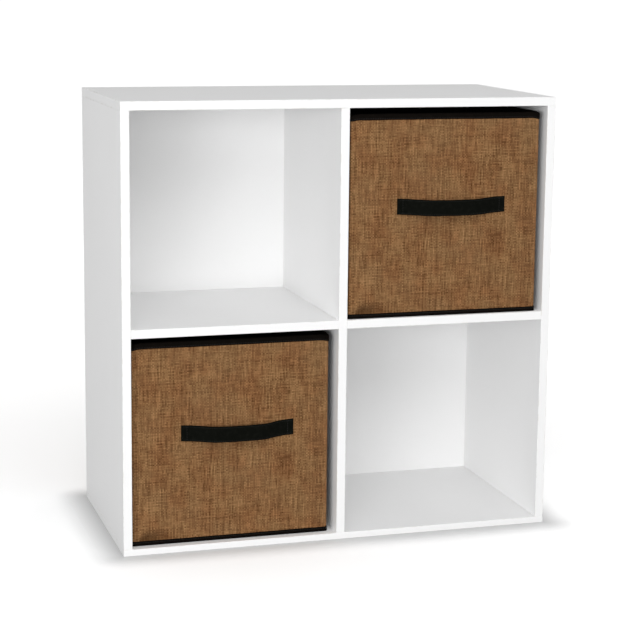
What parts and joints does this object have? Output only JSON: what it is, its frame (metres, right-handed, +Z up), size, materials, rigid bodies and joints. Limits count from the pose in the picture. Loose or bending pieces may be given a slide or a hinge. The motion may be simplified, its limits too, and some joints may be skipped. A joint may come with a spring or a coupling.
{
  "type": "cube storage unit",
  "caption": "White cube storage unit with an open front, a centre divider, half shelves and pull-out woven fabric bins with black edging and strap handles.",
  "frame": {"origin": "on the floor, in the middle of the cabinet's footprint", "axes": "+Z up, open front towards -Y, +X to the right of someone who looks at the front"},
  "size_m": [0.61, 0.3038, 0.61],
  "materials": {
    "white_laminate": "smooth satin white melamine over particle board",
    "white_hardboard": "smooth white lacquered hardboard",
    "dowel_wood": "plain fluted beech",
    "zinc_steel": "bright zinc plated steel",
    "zinc_alloy": "cast zinc alloy, dull",
    "white_plastic": "satin white plastic",
    "woven_front": "coarse plain weave in brown, matt with uneven slubs",
    "black_cloth": "black pressed non-woven cloth, matt",
    "black_lining": "black pressed non-woven lining, matt",
    "black_binding": "black folded binding tape, slight sheen",
    "black_strap": "black folded and stitched cloth band",
    "black_thread": "black sewing thread",
    "black_base": "stiff board wrapped in black non-woven cloth",
    "grey_board": "grey paperboard"
  },
  "bodies": {
    "cabinet": {"top_panel": "white_laminate", "bottom_panel": "white_laminate", "left_side_panel": "white_laminate", "right_side_panel": "white_laminate", "centre_divider": "white_laminate", "left_shelf": "white_laminate", "right_shelf": "white_laminate", "back_panel": "white_hardboard", "wood_dowels": "dowel_wood", "cam_bolts": "zinc_steel", "divider_bolts": "zinc_steel", "cam_locks": "zinc_alloy", "cam_caps": "white_plastic", "bottom_screws": "zinc_steel", "back_nails": "zinc_steel"},
    "upper_bin": {"upper_bin_front_cloth": "woven_front", "upper_bin_side_cloth": "black_cloth", "upper_bin_front_board": "grey_board", "upper_bin_back_board": "grey_board", "upper_bin_left_boards": "grey_board", "upper_bin_right_boards": "grey_board", "upper_bin_lining": "black_lining", "upper_bin_floor_cloth": "black_lining", "upper_bin_rim_binding": "black_binding", "upper_bin_edge_binding": "black_binding", "upper_bin_strap_stitches": "black_thread"},
    "upper_base": {"upper_bin_base_board": "black_base"},
    "upper_handle": {"upper_bin_handle_strap": "black_strap"},
    "lower_bin": {"lower_bin_front_cloth": "woven_front", "lower_bin_side_cloth": "black_cloth", "lower_bin_front_board": "grey_board", "lower_bin_back_board": "grey_board", "lower_bin_left_boards": "grey_board", "lower_bin_right_boards": "grey_board", "lower_bin_lining": "black_lining", "lower_bin_floor_cloth": "black_lining", "lower_bin_rim_binding": "black_binding", "lower_bin_edge_binding": "black_binding", "lower_bin_strap_stitches": "black_thread"},
    "lower_base": {"lower_bin_base_board": "black_base"},
    "lower_handle": {"lower_bin_handle_strap": "black_strap"}
  },
  "joints": [
    {"name": "upper_bin_slide", "type": "slide", "parent": "cabinet", "child": "upper_bin", "axis": [0, -1, 0], "range_m": [-0.008, 0.28]},
    {"name": "upper_base_lift", "type": "slide", "parent": "upper_bin", "child": "upper_base", "axis": [0, 0, 1], "range_m": [0, 0.27]},
    {"name": "upper_handle_swing", "type": "hinge", "parent": "upper_bin", "child": "upper_handle", "pos_m": [0.1553, -0.1423, 0.462], "axis": [-1, 0, 0], "range_deg": [-10, 30], "stiffness_Nm_per_rad": 0.02, "deforming": ["upper_bin_handle_strap"]},
    {"name": "lower_bin_slide", "type": "slide", "parent": "cabinet", "child": "lower_bin", "axis": [0, -1, 0], "range_m": [0, 0.28]},
    {"name": "lower_base_lift", "type": "slide", "parent": "lower_bin", "child": "lower_base", "axis": [0, 0, 1], "range_m": [0, 0.27]},
    {"name": "lower_handle_swing", "type": "hinge", "parent": "lower_bin", "child": "lower_handle", "pos_m": [-0.1447, -0.1349, 0.1615], "axis": [-1, 0, 0], "range_deg": [-10, 30], "stiffness_Nm_per_rad": 0.02, "deforming": ["lower_bin_handle_strap"]}
  ]
}
